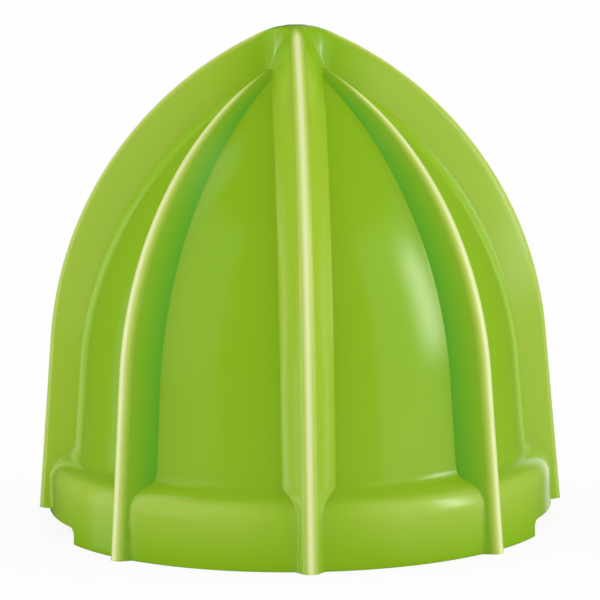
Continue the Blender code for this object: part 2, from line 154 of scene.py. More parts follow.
def makeShine(tree, towards, y, z, azimuth, elevation, s):
    # What gloss sees: a dim surround with the soft boxes and the light strips
    shine = s["surroundShine"]
    for azFrom, azTo, azSoft, elFrom, elTo, elSoft, brightness in softBoxes.values():
        box = calculated(tree, "MULTIPLY", windowed(tree, azimuth, azFrom, azTo, azSoft),
                         windowed(tree, elevation, elFrom, elTo, elSoft))
        shine = calculated(tree, "ADD", shine, calculated(tree, "MULTIPLY", box, brightness))
    noFront = -2.0             # a strip has no front end: no direction's Y is this low
    for axis, middle, half, soft, back, top, brightness in lightStrips.values():
        along = tree.nodes.new("ShaderNodeVectorMath")
        along.operation = "DOT_PRODUCT"
        along.inputs[1].default_value = seen(axis, 0)
        tree.links.new(towards, along.inputs[0])
        across = windowed(tree, along.outputs["Value"], middle - half, middle + half, soft)
        strip = calculated(tree, "MULTIPLY", across, windowed(tree, y, noFront, back, s["stripBackSoft"]))
        upward = windowed(tree, z, s["stripFoot"], top, s["stripFootSoft"])
        strip = calculated(tree, "MULTIPLY", strip, upward)
        shine = calculated(tree, "ADD", shine, calculated(tree, "MULTIPLY", strip, brightness))
    return shine


def makeWorld(s):
    world = bpy.data.worlds.new("studioWorld")
    scene.world = world
    world.use_nodes = True
    world.cycles.sampling_method = "NONE"      # rays find the fill and the boxes by themselves
    tree = world.node_tree
    background = tree.nodes["Background"]
    background.inputs["Color"].default_value = (1, 1, 1, 1)
    towards = tree.nodes.new("ShaderNodeTexCoord").outputs["Generated"]
    split = tree.nodes.new("ShaderNodeSeparateXYZ")
    tree.links.new(towards, split.inputs["Vector"])
    x, y, z = split.outputs
    forward = calculated(tree, "MULTIPLY", y, -1.0)
    azimuth = calculated(tree, "DEGREES", calculated(tree, "ARCTAN2", x, forward))
    elevation = calculated(tree, "DEGREES", calculated(tree, "ARCSINE", z))
    sides = calculated(tree, "MULTIPLY", calculated(tree, "MULTIPLY", x, x), s["sideFill"])
    right = calculated(tree, "MULTIPLY", calculated(tree, "MAXIMUM", x, 0.0), s["rightFill"])
    fill = calculated(tree, "ADD", calculated(tree, "ADD", sides, s["worldFill"]), right)
    shine = makeShine(tree, towards, y, z, azimuth, elevation, s)
    path = tree.nodes.new("ShaderNodeLightPath")
    gloss = tree.nodes.new("ShaderNodeMix")
    backdrop = tree.nodes.new("ShaderNodeMix")
    backdrop.inputs["B"].default_value = 1.0
    plain = calculated(tree, "MAXIMUM", path.outputs["Is Camera Ray"], path.outputs["Is Transmission Ray"])
    for source, target in ((path.outputs["Is Glossy Ray"], gloss.inputs["Factor"]),
                           (fill, gloss.inputs["A"]),
                           (shine, gloss.inputs["B"]),
                           (plain, backdrop.inputs["Factor"]),
                           (gloss.outputs["Result"], backdrop.inputs["A"]),
                           (backdrop.outputs["Result"], background.inputs["Strength"])):
        tree.links.new(source, target)


def makeFloor(s):
    mesh = bmesh.new()
    bmesh.ops.create_circle(mesh, cap_ends=True, segments=s["floorSegments"],
                            radius=s["floorSize"] * mm / 2)
    floor = makeObject("studioFloor", mesh)
    material = bpy.data.materials.new("floorPaper")
    material.use_nodes = True
    tree = material.node_tree
    paper = tree.nodes["Principled BSDF"]
    paper.inputs["Base Color"].default_value = (*s["floorColour"], 1)
    paper.inputs["Roughness"].default_value = s["floorRoughness"]
    paper.inputs["Specular IOR Level"].default_value = 0.0
    path = tree.nodes.new("ShaderNodeLightPath")
    glow = tree.nodes.new("ShaderNodeEmission")
    blend = tree.nodes.new("ShaderNodeMixShader")
    toCamera = calculated(tree, "MULTIPLY", path.outputs["Is Camera Ray"], s["floorGlow"])
    tree.links.new(toCamera, blend.inputs["Fac"])
    tree.links.new(paper.outputs["BSDF"], blend.inputs[1])
    tree.links.new(glow.outputs["Emission"], blend.inputs[2])
    tree.links.new(blend.outputs["Shader"], tree.nodes["Material Output"].inputs["Surface"])
    floor.data.materials.append(material)
    floor.visible_glossy = False               # gloss sees the surround in its place


# Outlines in (radius, height)

def direction(angle):
    return Vector((cos(angle), sin(angle)))


def ogive(foot, draft, shoulder, aim):
    # A drafted wall that turns at its shoulder into one arc to the axis
    foot, draft, shoulder, aim = foot * mm, radians(draft), shoulder * mm, aim * mm
    wallTop = Vector((foot - shoulder * tan(draft), shoulder))
    toAim = Vector((0, aim)) - wallTop
    inward = -direction(draft)
    arc = toAim.length_squared / (2 * toAim.dot(inward))
    return SimpleNamespace(foot=foot, draft=draft, shoulder=shoulder, arc=arc,
                           centre=wallTop + inward * arc)


def inset(curve, depth):
    depth = depth * mm
    return SimpleNamespace(foot=curve.foot - depth / cos(curve.draft), draft=curve.draft,
                           shoulder=curve.shoulder - depth * sin(curve.draft),
                           arc=curve.arc - depth, centre=curve.centre)


def radiusAt(curve, height):
    if height <= curve.shoulder:
        return curve.foot - height * tan(curve.draft)
    return curve.centre.x + sqrt(max(curve.arc ** 2 - (height - curve.centre.y) ** 2, 0))


def wallPoint(curve, height):
    return Vector((radiusAt(curve, height), height))


def arcPoints(curve, steps, lastRadius=0.0):
    last = acos((lastRadius * mm - curve.centre.x) / curve.arc)
    angles = [curve.draft + (last - curve.draft) * step / steps for step in range(1, steps + 1)]
    return [curve.centre + direction(angle) * curve.arc for angle in angles]


def between(low, high, steps):
    return [low.lerp(high, step / steps) for step in range(1, steps + 1)]


def roundedCorner(before, corner, after, size, steps):
    start = corner + (before - corner).normalized() * size * mm
    end = corner + (after - corner).normalized() * size * mm
    shares = [step / steps for step in range(steps + 1)]
    return [start.lerp(corner, share).lerp(corner.lerp(end, share), share) for share in shares]


def reachOf(curve, start, heading):
    # Distance from a point along a heading to an outline
    across = start - curve.centre
    along = across.dot(heading)
    inside = along ** 2 - across.length_squared + curve.arc ** 2
    if inside > 0:
        distance = sqrt(inside) - along
        if start.y + distance * heading.y >= curve.shoulder:
            return distance
    slope = tan(curve.draft)
    return (curve.foot - slope * start.y - start.x) / (heading.x + slope * heading.y)


# Ribbed domes: long ribs run to the tip, and as many short ribs between them stop below it

longRibs = 4
sector = pi / longRibs         # from a long rib to the next short one

# Share of the half width that the rounded crest takes, how full its rounding and the flank are,
# and the share over which the crest gets its painted highlight
longSection = {"crestEdge": 0.33, "crestPower": 2.4, "flankPower": 1.0, "crestWidth": 0.42}
shortSection = {"crestEdge": 0.31, "crestPower": 2.8, "flankPower": 1.0, "crestWidth": 0.57}

ribLimits = {
    "shortNarrowing": 0.6,      # how a short rib narrows as it gets lower
    "fillAtMost": 0.86,         # the share of a sector that its two ribs take at most, and a rib at least
    "fillAtLeast": 0.06,
    "heightPasses": 8,          # rounds in which the height over a row's point settles
    "widestFlank": 64.0,
    "ribEdge": 1.005,           # a little over the half width, so that the root's own line counts as rib
    "rootMargin": 0.03,
    "filletAtLeast": 0.05,
    "poleRadius": 0.1,
    "tipFillet": 7.0,           # filling between two long ribs near the tip, how it grows with the radius,
    "tipFilletGrowth": 0.8,     # and the radii between which it ends
    "tipFilletEnds": (4.0, 7.5),
}

# Where the painted highlights, sheen and shade on the plastic come: each pair is the range of heights or
# radii over which they do
tintLimits = {
    "plainTip": (6.0, 13.0),    # radii, for the long ribs' flanks and for their crests
    "plainCrest": (0.3, 6.0),
    "flankFootShare": 0.3,      # share of the long flanks' painted sheen at the foot, and the heights it grows over
    "flankFoot": (3.0, 12.0),
    "fullShortRib": 1.6,        # height over the panel at which a short rib has its full painted highlight and shade
    "glowRise": (1.4, 8.3),     # the band's painted highlight grows upwards, and ends below the ledge
    "glowEnds": (9.2, 9.9),
    "glowBeside": (3.0, 10.0),  # distances from a long rib's middle over which the band's painted highlight grows, and its share beside the rib
    "glowLeast": 0.3,           # and its share beside the rib
    "panelGlowShare": 0.18,     # a fainter painted highlight on the panels over the band, which fades upwards
    "panelGlowStarts": (9.4, 9.9),
    "panelGlowEnds": (9.9, 28.0),
}


def ribSection(s):
    # The crest's drop that lets it run smoothly into the flank
    edge, power, flank = s["crestEdge"], s["crestPower"], s["flankPower"]
    slope = flank / (1 - edge)
    drop = slope / (power / edge + slope)
    return SimpleNamespace(edge=edge, power=power, flank=flank, drop=drop, crestWidth=s["crestWidth"])


def ribRise(section, share):
    # Height of a rib at a share of its half width
    share = abs(share)
    if share >= 1:
        return 0.0
    if share < section.edge:
        return 1 - section.drop * (share / section.edge) ** section.power
    return (1 - section.drop) * ((1 - share) / (1 - section.edge)) ** section.flank


def ribShare(section, rise):
    rise = min(max(rise, 0), 1 - section.drop)
    return 1 - (1 - section.edge) * (rise / (1 - section.drop)) ** (1 / section.flank)


def softMax(first, second, blend):
    overlap = max(blend - abs(first - second), 0)
    return max(first, second) + overlap ** 2 / (4 * blend)


def ramp(value, start, end):
    # 0 below the start and 1 over the end, in millimetres for a value in metres
    return min(max((value / mm - start) / (end - start), 0), 1)


def makeDome(panel, longRib, shortRib, c):
    inner = longRib.arc - c["tipRound"] * mm
    dome = SimpleNamespace(panel=panel, longRib=longRib, shortRib=shortRib, longHalf=c["longWidth"] * mm / 2,
                           shortHalf=c["shortWidth"] * mm / 2, fillet=c["fillet"] * mm, flank=c["flank"],
                           strips=c["strips"], tipRound=c["tipRound"] * mm, banded="bandHeight" in c)
    dome.longSection, dome.shortSection = ribSection(longSection), ribSection(shortSection)
    dome.fullHeight = longRib.foot - panel.foot
    dome.tipCentre = Vector((0, longRib.centre.y + sqrt(inner ** 2 - longRib.centre.x ** 2)))
    dome.tipEdge = -longRib.centre.x * dome.tipRound / inner
    dome.tip = dome.tipCentre + Vector((0, dome.tipRound))
    dome.steps = 2 * longRibs * (2 * len(dome.flank) + len(dome.strips) - 1)
    return dome


def ribLevel(dome, point):
    # What a row of the dome needs: its heading, the base and rib heights over the panel, rib half widths
    panel = dome.panel
    if point.y <= panel.shoulder:
        heading = direction(panel.draft * max(point.y, 0) / panel.shoulder)
    else:
        heading = (point - panel.centre).normalized()
    base = -reachOf(panel, point, heading)
    toCrest = reachOf(dome.longRib, point, heading)
    if point.x + heading.x * toCrest < dome.tipEdge and point.y > panel.shoulder:
        across = point - dome.tipCentre
        along = across.dot(heading)
        toCrest = sqrt(max(along ** 2 - across.length_squared + dome.tipRound ** 2, 0)) - along
    shortHeight = max(reachOf(dome.shortRib, point, heading) + base, 0)
    narrow = min(shortHeight / dome.fullHeight, 1) ** ribLimits["shortNarrowing"]
    return SimpleNamespace(point=point, heading=heading, base=base, longHeight=toCrest + base,
                           shortHeight=shortHeight, longHalf=dome.longHalf, shortHalf=dome.shortHalf * narrow)


def flankAngles(dome, level, section, half, height):
    # Azimuths from a rib's middle of the lines down its flank
    hidden = max(level.base - dome.fillet / 2, 0)
    reach = half * ribShare(section, hidden / height) if height > 0 else 0
    angles = []
    for share in dome.flank:
        rise = height * ribRise(section, share * reach / half) - level.base if half > 0 else -level.base
        radius = level.point.x + level.heading.x * rise
        sine = min(share * reach / radius, sin(radians(ribLimits["widestFlank"]))) if radius > 0 else 0
        angles.append(asin(sine))
    least = ribLimits["fillAtLeast"] * sector
    if angles[-1] < least:
        angles = [least * share for share in dome.flank]
    return angles


def ringLines(dome, level):
    # Azimuths of the lines from a long rib's crest to the next short rib's crest
    longs = flankAngles(dome, level, dome.longSection, level.longHalf, level.longHeight)
    shorts = flankAngles(dome, level, dome.shortSection, level.shortHalf, level.shortHeight)
    squeeze = min(ribLimits["fillAtMost"] * sector / (longs[-1] + shorts[-1]), 1)
    longs = [angle * squeeze for angle in longs]
    shorts = [sector - angle * squeeze for angle in reversed(shorts)]
    return longs + [longs[-1] + (shorts[0] - longs[-1]) * share for share in dome.strips] + shorts


def ringAzimuth(lines, step):
    count = len(lines) - 1
    number, place = divmod(step, count)
    if number % 2:
        return (number + 1) * sector - lines[count - place]
    return number * sector + lines[place]


def domeSurface(dome, level, azimuth):
    # The outside over a row's point at an azimuth, what it lies on, and how far across:
    # on a rib the share of its half width, on a panel the distance from the long rib's middle
    turn = azimuth % (2 * sector)
    toLong = min(turn, 2 * sector - turn)
    toShort = sector - toLong
    blend = dome.fillet * min(max(level.base / dome.fullHeight, ribLimits["filletAtLeast"]), 1)
    growth, fall = ribLimits["tipFilletGrowth"] / mm, 1 - dome.longSection.edge
    height = level.base
    for _ in range(ribLimits["heightPasses"]):
        radius = level.point.x + level.heading.x * (height - level.base)
        acrossLong, acrossNext = (radius * part / level.longHalf for part in (sin(toLong), cos(toLong)))
        long = ribRise(dome.longSection, acrossLong) if acrossLong < 1 else (1 - acrossLong) / fall
        following = min((1 - acrossNext) / fall, 1)
        tipBlend = ribLimits["tipFillet"] * mm * (1 - ramp(radius, *ribLimits["tipFilletEnds"]))
        tipBlend = max(min(tipBlend, growth * radius ** 2), tiny)
        long = min(softMax(level.longHeight * long, level.longHeight * following, tipBlend), level.longHeight)
        acrossShort = radius * sin(toShort) / level.shortHalf if level.shortHalf > 0 else inf
        short = level.shortHeight * ribRise(dome.shortSection, acrossShort)
        rib = max(long, short)
        height = softMax(level.base, rib, blend) if rib > 0 else level.base
    lowest = level.base - max(dome.fillet, ribLimits["rootMargin"] * mm)
    kind, across = "panel", radius * sin(toLong)
    if short > max(long, lowest) and acrossShort < ribLimits["ribEdge"]:
        kind, across = "shortRib", acrossShort
    elif long > lowest and acrossLong < ribLimits["ribEdge"]:
        kind, across = "longRib", acrossLong
    return level.point + level.heading * (height - level.base), kind, across


def paintedBandHighlight(height, fromRib):
    # Painted highlight on the large cone's band and, more faintly, on the panels over it
    t = tintLimits
    beside = ramp(fromRib, *t["glowBeside"])
    beside += t["glowLeast"] * (1 - beside)
    band = ramp(height, *t["glowRise"]) * (1 - ramp(height, *t["glowEnds"])) * beside
    panel = ramp(height, *t["panelGlowStarts"]) * (1 - ramp(height, *t["panelGlowEnds"]))
    return band + t["panelGlowShare"] * panel


def tintsAt(dome, level, point, kind, across):
    # Shares of the painted highlights, sheen and shade at a point of the dome
    t = tintLimits
    if kind == "panel":
        # a panel gets a painted highlight on the band and just over it
        return {"glow": paintedBandHighlight(point.y, across) if dome.banded else 0}
    if kind == "shortRib":
        # a short rib gets a painted highlight on its crest and painted shade down its flanks
        fade = ramp(level.shortHeight, 0, t["fullShortRib"])
        return {"crest": max(1 - across / dome.shortSection.crestWidth, 0) * fade, "shortFlankShade": across * fade}
    # a long rib gets a painted highlight on its crest and painted sheen on its flanks
    crest = max(1 - across / dome.longSection.crestWidth, 0) * ramp(point.x, *t["plainCrest"])
    foot = t["flankFootShare"] + (1 - t["flankFootShare"]) * ramp(point.y, *t["flankFoot"])
    return {"crest": crest, "longFlankSheen": ramp(point.x, *t["plainTip"]) * foot}


def plainRows(points, levels=None):
    return [(Vector(point), level, False) for point, level in zip(points, levels or points)]


def ribbedRows(points):
    return [(point, point, True) for point in points]


def spunMesh(rows, steps, dome=None):
    # One closed body, spun from its rows
    mesh = bmesh.new()
    rowNumber = mesh.verts.layers.int.new("row")
    ring = []
    for number, (point, level, ribbed) in enumerate(rows):
        radius = max(point.x, ribLimits["poleRadius"] * mm) if ribbed else point.x
        vert = mesh.verts.new((0, -radius, point.y))
        vert[rowNumber] = number
        ring.append(vert)
    edges = [mesh.edges.new(pair) for pair in zip(ring, ring[1:])]
    if rows[0][0].x > tiny:
        edges.append(mesh.edges.new((ring[-1], ring[0])))
    bmesh.ops.spin(mesh, geom=ring + edges, cent=(0, 0, 0), axis=(0, 0, 1), angle=2 * pi, steps=steps,
                   use_merge=True, use_duplicate=False)
    bmesh.ops.remove_doubles(mesh, verts=mesh.verts, dist=seamGap)
    if dome:
        raiseRibs(mesh, rowNumber, rows, steps, dome)
    bmesh.ops.recalc_face_normals(mesh, faces=mesh.faces)
    return mesh


def raiseRibs(mesh, rowNumber, rows, steps, dome):
    # The dome's lines and ribs place each spun vertex, and tell how much painted highlight, sheen and shade
    # it gets
    tints = {name: mesh.verts.layers.float.new(name) for name in ("crest", "shortFlankShade", "longFlankSheen", "glow")}
    lines = [ringLines(dome, ribLevel(dome, level)) if level else None for point, level, ribbed in rows]
    own = [ribLevel(dome, point) if ribbed else None for point, level, ribbed in rows]
    for vert in mesh.verts:
        number = vert[rowNumber]
        point, level, ribbed = rows[number]
        if point.x > tiny or ribbed:
            turn = atan2(vert.co.x, -vert.co.y) % (2 * pi)
            azimuth = ringAzimuth(lines[number], round(turn * steps / (2 * pi)) % steps)
            if ribbed:
                point, kind, across = domeSurface(dome, own[number], azimuth)
                for name, share in tintsAt(dome, own[number], point, kind, across).items():
                    vert[tints[name]] = share
            vert.co = (point.x * sin(azimuth), -point.x * cos(azimuth), point.y)


# Objects

sharpAngle = 20


def makeObject(name, mesh):
    data = bpy.data.meshes.new(name)
    mesh.to_mesh(data)
    mesh.free()
    obj = bpy.data.objects.new(name, data)
    scene.collection.objects.link(obj)
    return obj


def combine(target, tools, operation):
    # Joins tool objects to a piece or cuts them out of it, one after another, and merges the slivers left
    for tool in tools:
        modifier = target.modifiers.new(tool.name, "BOOLEAN")
        modifier.operation = operation
        modifier.solver = "EXACT"
        modifier.object = tool
        finished = target.evaluated_get(bpy.context.evaluated_depsgraph_get())
        target.data = bpy.data.meshes.new_from_object(finished)
        target.modifiers.clear()
        bpy.data.objects.remove(tool, do_unlink=True)
    mesh = bmesh.new()
    mesh.from_mesh(target.data)
    bmesh.ops.remove_doubles(mesh, verts=mesh.verts, dist=sliverGap)
    mesh.to_mesh(target.data)
    mesh.free()


def finishPiece(obj, material, body, replaced):
    obj.data.name = obj.name
    obj.data.materials.clear()
    obj.data.materials.append(material)
    obj.data.shade_smooth()
    obj.data.set_sharp_from_angle(angle=radians(sharpAngle))
    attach(obj, body)
    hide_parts(replaced)
    print(obj.name, "has", sum(len(face.vertices) - 2 for face in obj.data.polygons), "triangles")


def makeHexagon(name, flats, low, high, leadIn=0.0, chamfer=0.0):
    corner = flats / 2 / cos(pi / 6)
    outline = [(0, low), (corner + leadIn, low), (corner, high), (0, high)]
    if leadIn:
        outline.insert(2, (corner, low + leadIn))
    if chamfer:
        outline[-2:-1] = [(corner, high - chamfer), (corner - chamfer, high)]
    return makeObject(name, spunMesh(plainRows([Vector(point) * mm for point in outline]), 6))


# Materials

limePlastic = {
    "colour": (0.258, 0.485, 0.008),
    "otherColour": (0.272, 0.500, 0.010),
    "paintedShadeColour": (0.122, 0.455, 0.022),      # painted shade on the flanks of the short ribs
    "flankSheenColour": (0.352, 0.545, 0.030),     # painted sheen that lightens the flanks of the long ribs
    "bandHighlightColour": (0.385, 0.575, 0.055),      # painted highlight on the upper part of the band
    "shoulderColour": (0.50, 0.63, 0.075),    # painted highlights beside the crests, and on the crests
    "crestColour": (0.78, 0.85, 0.40),
    "paintedShadeRange": (0.3, 1.0),                  # from the crest to the root, over which the painted shade comes
    "shoulderRange": (0.28, 0.7),             # and from the root to the crest, for the painted highlights
    "crestRange": (0.55, 0.95),
    "wearRange": (0.1, 0.5),
    "roughness": 0.13,
    "roughnessSpread": (0.9, 1.15),
    "crestRoughness": 0.33,
    "specular": 0.5,
    "mottleScale": 42.0,
    "mottleDetail": 3.0,
    "mottleRoughness": 0.55,
    "mottleStretch": (1, 1, 0.45),
    "grainScale": 900.0,
    "grainHeight": 0.004,
    "grainStrength": 0.2,
}

hubPlastic = {
    "colour": (0.70, 0.70, 0.66),
    "otherColour": (0.62, 0.62, 0.57),
    "roughness": 0.42,
    "roughnessSpread": (0.85, 1.15),
    "mottleScale": 60.0,
    "mottleDetail": 4.0,
    "mottleRoughness": 0.5,
    "grainScale": 1600.0,
    "grainHeight": 0.01,
    "grainStrength": 0.35,
}

drawnSteel = {
    "colour": (0.60, 0.60, 0.60),
    "otherColour": (0.48, 0.48, 0.49),
    "roughness": 0.28,
    "roughnessSpread": (0.8, 1.3),
    "streakScale": 700.0,
}

# The part of a noise's range that a pattern uses, for colours and for roughness
colourNoise = (0.35, 0.65)
roughNoise = (0.3, 0.7)


def addNode(material, kind, **values):
    node = material.node_tree.nodes.new(kind)
    for name, value in values.items():
        if hasattr(node, name):
            setattr(node, name, value)
        else:
            node.inputs[name.replace("_", " ")].default_value = value
    return node


def joinNodes(material, *pairs):
    for source, target in pairs:
        material.node_tree.links.new(source, target)


def startMaterial(name):
    # A new material, its shader, and the place that its patterns read
    material = bpy.data.materials.new(name)
    material.use_nodes = True
    place = addNode(material, "ShaderNodeTexCoord").outputs["Object"]
    return material, material.node_tree.nodes["Principled BSDF"], place


def mixedColour(material, factor, first, second):
    node = addNode(material, "ShaderNodeMix", data_type="RGBA")
    for socket, value in ((node.inputs[0], factor), (node.inputs[6], first), (node.inputs[7], second)):
        if isinstance(value, tuple):
            socket.default_value = (*value, 1)
        else:
            joinNodes(material, (value, socket))
    return node.outputs[2]


def mapped(material, source, fromRange, toRange=(0, 1)):
    node = addNode(material, "ShaderNodeMapRange", clamp=True)
    for socket, value in zip(node.inputs[1:5], (*fromRange, *toRange)):
        socket.default_value = value
    joinNodes(material, (source, node.inputs[0]))
    return node.outputs[0]


def variedFinish(material, m, colourSource, roughSource):
    # Two close colours and a spread of roughness, mixed by noise
    share = mapped(material, colourSource, colourNoise)
    colour = mixedColour(material, share, m["colour"], m["otherColour"])
    spread = [m["roughness"] * share for share in m["roughnessSpread"]]
    return colour, mapped(material, roughSource, roughNoise, spread)


def addMottle(material, place, m):
    mottle = addNode(material, "ShaderNodeTexNoise", Scale=m["mottleScale"], Detail=m["mottleDetail"],
                     Roughness=m["mottleRoughness"])
    joinNodes(material, (place, mottle.inputs["Vector"]))
    return mottle.outputs["Fac"]


def addGrain(material, shader, place, m):
    grain = addNode(material, "ShaderNodeTexNoise", Scale=m["grainScale"], Detail=2.0)
    bump = addNode(material, "ShaderNodeBump", Strength=m["grainStrength"], Distance=m["grainHeight"] * mm)
    joinNodes(material, (place, grain.inputs["Vector"]), (grain.outputs["Fac"], bump.inputs["Height"]),
              (bump.outputs["Normal"], shader.inputs["Normal"]))
    return grain.outputs["Fac"]


def makeLimePlastic(m):
    material, shader, place = startMaterial("limePlastic")
    shader.inputs["Specular IOR Level"].default_value = m["specular"]
    mapping = addNode(material, "ShaderNodeMapping", vector_type="POINT")
    mapping.inputs["Scale"].default_value = m["mottleStretch"]
    joinNodes(material, (place, mapping.inputs["Vector"]))
    mottle = addMottle(material, mapping.outputs["Vector"], m)
    addGrain(material, shader, place, m)
    colour, rough = variedFinish(material, m, mottle, mottle)
    crest, depth, flank, glow = (addNode(material, "ShaderNodeAttribute", attribute_name=name).outputs["Fac"]
                                 for name in ("crest", "shortFlankShade", "longFlankSheen", "glow"))
    # painted shade down the short ribs' flanks
    colour = mixedColour(material, mapped(material, depth, m["paintedShadeRange"]), colour, m["paintedShadeColour"])
    # painted sheen on the long ribs' flanks
    colour = mixedColour(material, flank, colour, m["flankSheenColour"])
    # painted highlight on the band and, faintly, on the panels over it
    colour = mixedColour(material, glow, colour, m["bandHighlightColour"])
    # painted highlights beside the crests and on them
    for part in ("shoulder", "crest"):
        highlightShare = mapped(material, crest, m[part + "Range"])
        highlightShare.node.interpolation_type = "SMOOTHSTEP"
        colour = mixedColour(material, highlightShare, colour, m[part + "Colour"])
    wear = addNode(material, "ShaderNodeMix", data_type="FLOAT")
    wear.inputs["B"].default_value = m["crestRoughness"]
    joinNodes(material, (mapped(material, crest, m["wearRange"]), wear.inputs["Factor"]),
              (rough, wear.inputs["A"]), (wear.outputs["Result"], shader.inputs["Roughness"]),
              (colour, shader.inputs["Base Color"]))
    return material


def makeHubPlastic(m):
    material, shader, place = startMaterial("naturalPlastic")
    grain = addGrain(material, shader, place, m)
    colour, rough = variedFinish(material, m, addMottle(material, place, m), grain)
    joinNodes(material, (colour, shader.inputs["Base Color"]), (rough, shader.inputs["Roughness"]))
    return material


def makeDrawnSteel(m):
    # Streaks run round the wire's ring, along the drawing
    material, shader, place = startMaterial("drawnSteel")
    shader.inputs["Metallic"].default_value = 1.0
    split = addNode(material, "ShaderNodeSeparateXYZ")
    reach = addNode(material, "ShaderNodeVectorMath", operation="LENGTH")
    flat = addNode(material, "ShaderNodeVectorMath", operation="MULTIPLY")
    flat.inputs[1].default_value = (1, 1, 0)
    across = addNode(material, "ShaderNodeCombineXYZ")
    streaks = addNode(material, "ShaderNodeTexNoise", Scale=m["streakScale"], Detail=2.0)
    joinNodes(material, (place, split.inputs["Vector"]), (place, flat.inputs[0]),
              (flat.outputs[0], reach.inputs[0]), (reach.outputs["Value"], across.inputs["X"]),
              (split.outputs["Z"], across.inputs["Z"]), (across.outputs["Vector"], streaks.inputs["Vector"]))
    colour, rough = variedFinish(material, m, streaks.outputs["Fac"], streaks.outputs["Fac"])
    joinNodes(material, (colour, shader.inputs["Base Color"]), (rough, shader.inputs["Roughness"]))
    return material


# Large cone

largeCone = {
    "longRib": (39.0, 4.8, 28.0, 74.5),        # radius at the foot, draft, shoulder height, aim on the axis
    "shortRib": (39.0, 4.9, 26.0, 69.2),
    "panel": (34.6, 4.6, 25.0, 69.4),
    "longWidth": 7.5,
    "shortWidth": 6.8,
    "tipRound": 13.0,
    "fillet": 0.05,
    "wall": 2.0,
    "bandRadius": 37.3,
    "bandDraft": 1.5,
    "bandHeight": 9.3,
    "bandPlain": 0.7,                          # share of the band's height below its rounded edge
    "ledgeRise": 1.9,
    "ledgeRound": 1.0,
    "bandEdgeRound": 2.6,
    "footRound": 0.3,
    "notchHeight": 2.45,
    "notchWidth": 33.0,
    "notchRound": 1.2,
    "notchSegments": 6,
    # shares of a rib's flank and of the panel beside it at which the lines run up the dome
    "flank": (0, 0.04, 0.08, 0.12, 0.155, 0.185, 0.21, 0.235, 0.265, 0.3, 0.36, 0.45, 0.55, 0.65, 0.75, 0.84,
              0.91, 0.96, 1.0, 1.03),
    "strips": (0.01, 0.03, 0.07, 0.14, 0.22, 0.3, 0.38, 0.46, 0.54, 0.62, 0.7, 0.78, 0.86, 0.93, 0.97, 0.99),
    "outsideSteps": (3, 8, 12, 8, 12, 70),     # foot, band, its edge, ledge, panel up to the shoulder, arc
    "insideSteps": (4, 3, 4, 24),
    "railThickness": 1.4,
    "railTop": 34.0,
    "railSteps": 10,
}


def bandPoint(c, height):
    return Vector((c["bandRadius"] * mm - height * tan(radians(c["bandDraft"])), height))


def makeLargeCone(c, small, material):
    panel = ogive(*c["panel"])
    dome = makeDome(panel, ogive(*c["longRib"]), ogive(*c["shortRib"]), c)
    bandHeight, ledgeTop = c["bandHeight"] * mm, (c["bandHeight"] + c["ledgeRise"]) * mm
    foot, edge = bandPoint(c, 0), bandPoint(c, bandHeight)
    ledge, shoulder = wallPoint(panel, ledgeTop), wallPoint(panel, panel.shoulder)
    under = Vector((foot.x - c["wall"] * mm, 0))
    footSteps, bandSteps, edgeSteps, ledgeSteps, panelSteps, arcSteps = c["outsideSteps"]
    outside = roundedCorner(under, foot, edge, c["footRound"], footSteps)
    outside += between(outside[-1], foot.lerp(edge, c["bandPlain"]), bandSteps)
    outside += roundedCorner(foot, edge, ledge, c["bandEdgeRound"], edgeSteps)
    outside += roundedCorner(edge, ledge, shoulder, c["ledgeRound"], ledgeSteps)
    outside += between(outside[-1], shoulder, panelSteps)
    outside += arcPoints(panel, arcSteps)

    wall = inset(panel, c["wall"])
    drop = c["wall"] * mm * tan(atan2(ledgeTop - bandHeight, edge.x - ledge.x) / 2)
    corners = [under, Vector((edge.x - c["wall"] * mm, bandHeight - drop)), wallPoint(wall, ledgeTop - drop),
               wallPoint(wall, wall.shoulder)]
    inside, levels = [corners[0]], [foot]
    *straightSteps, arcSteps = c["insideSteps"]
    for number, steps in enumerate(straightSteps):
        inside += between(corners[number], corners[number + 1], steps)
        levels += between((foot, edge, ledge)[number], (edge, ledge, shoulder)[number], steps)
    inside += arcPoints(wall, arcSteps)
    levels += arcPoints(panel, arcSteps)
    rows = plainRows([dome.tip]) + ribbedRows(list(reversed(outside))) + plainRows(inside, levels)
    obj = makeObject("large_cone_shell", spunMesh(rows, dome.steps, dome))
    combine(obj, [makeRails(c, small, panel, ledgeTop)], "UNION")
    combine(obj, [makeNotchBlock(c)], "DIFFERENCE")
    finishPiece(obj, material, "large_cone", "large_cone")


